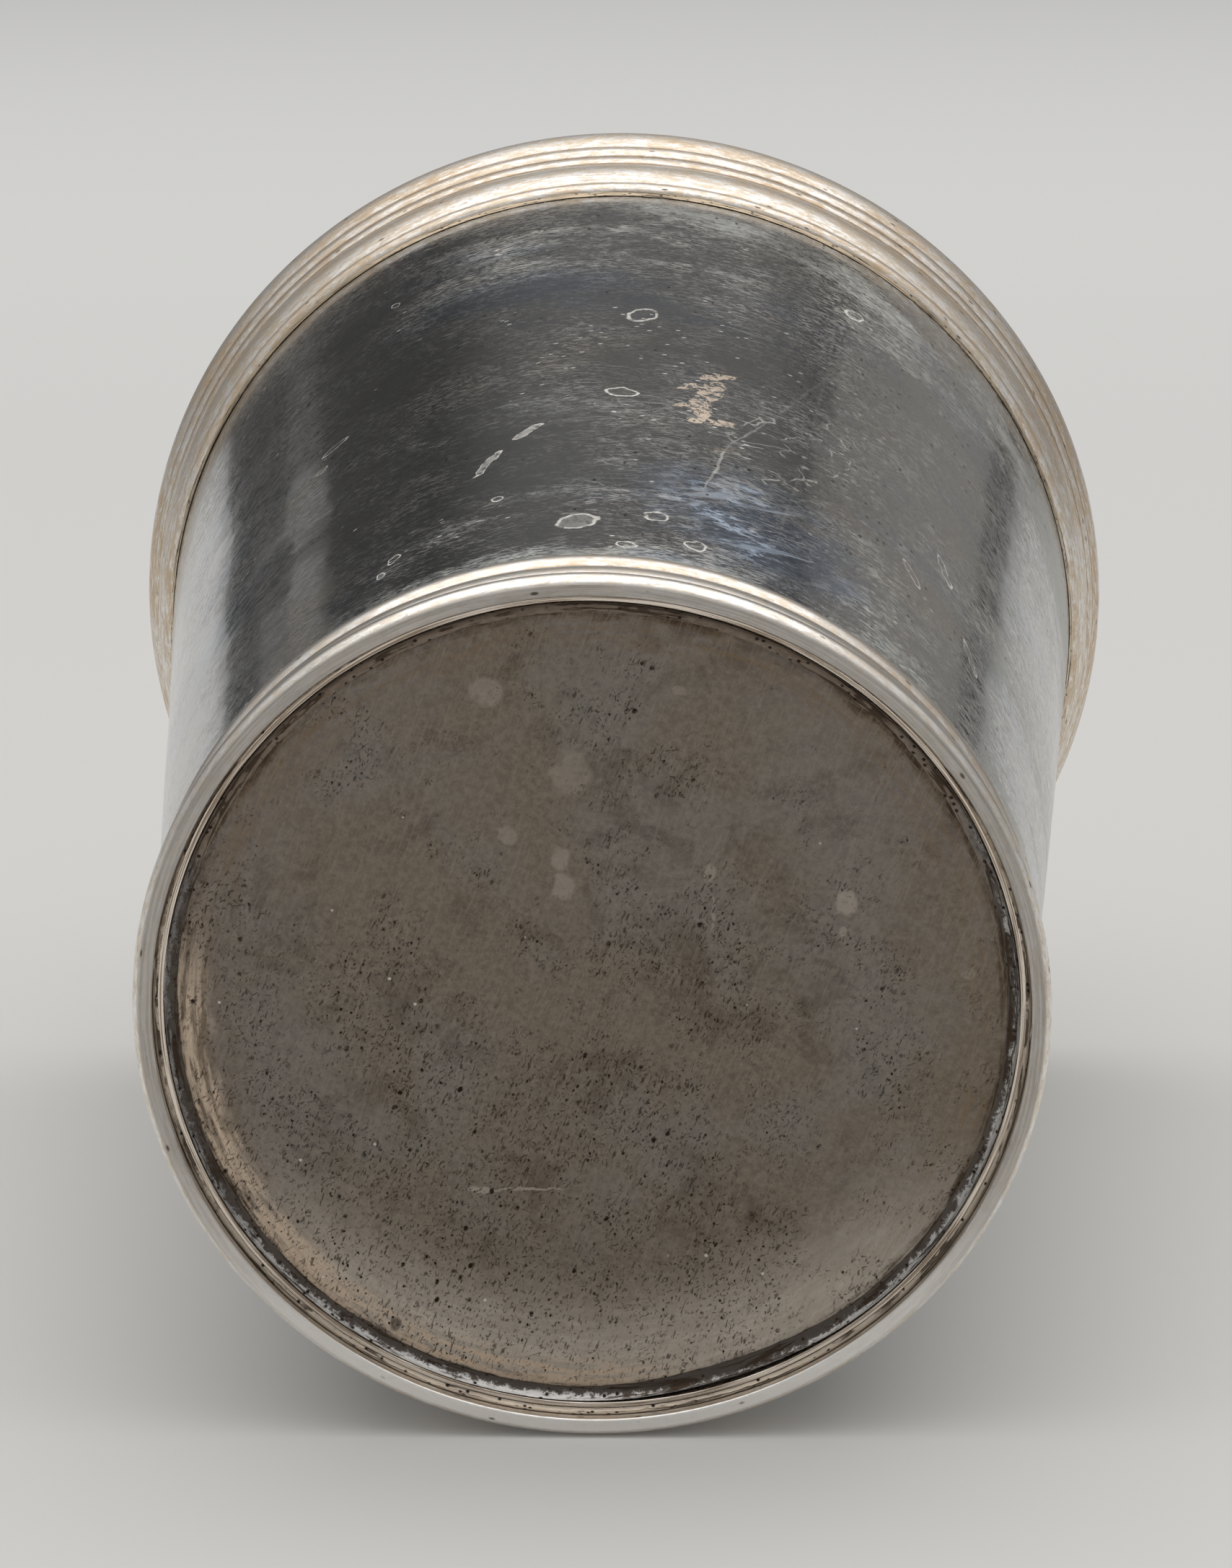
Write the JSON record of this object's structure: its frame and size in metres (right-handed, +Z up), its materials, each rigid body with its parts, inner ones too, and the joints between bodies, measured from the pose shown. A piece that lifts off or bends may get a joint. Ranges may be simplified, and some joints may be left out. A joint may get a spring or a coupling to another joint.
{
  "type": "julep cup",
  "caption": "Tapered silver drinking cup with a reeded moulding round the lip and the foot and a flat bottom set up inside the foot.",
  "frame": {"origin": "centre of the flat plane that the foot stands on", "axes": "+Z up the cup's axis, from foot to lip; X and Y alike, as the cup is round"},
  "size_m": [0.0772, 0.0772, 0.0953],
  "materials": {
    "body_silver": "worn polish with fine scratches, grey-blue tarnish and pale water spots",
    "moulding_silver": "satin, bright on the crests, with tan tarnish in the grooves",
    "bottom_silver": "dull grey-brown tarnish, pitted and scratched",
    "silver_solder": "rough and pitted"
  },
  "bodies": {
    "root": {"body_wall": "body_silver", "bottom_disc": "bottom_silver", "foot_moulding": "moulding_silver", "lip_moulding": "moulding_silver", "bottom_solder": "silver_solder", "foot_moulding_solder": "silver_solder", "lip_moulding_solder": "silver_solder"}
  },
  "joints": []
}
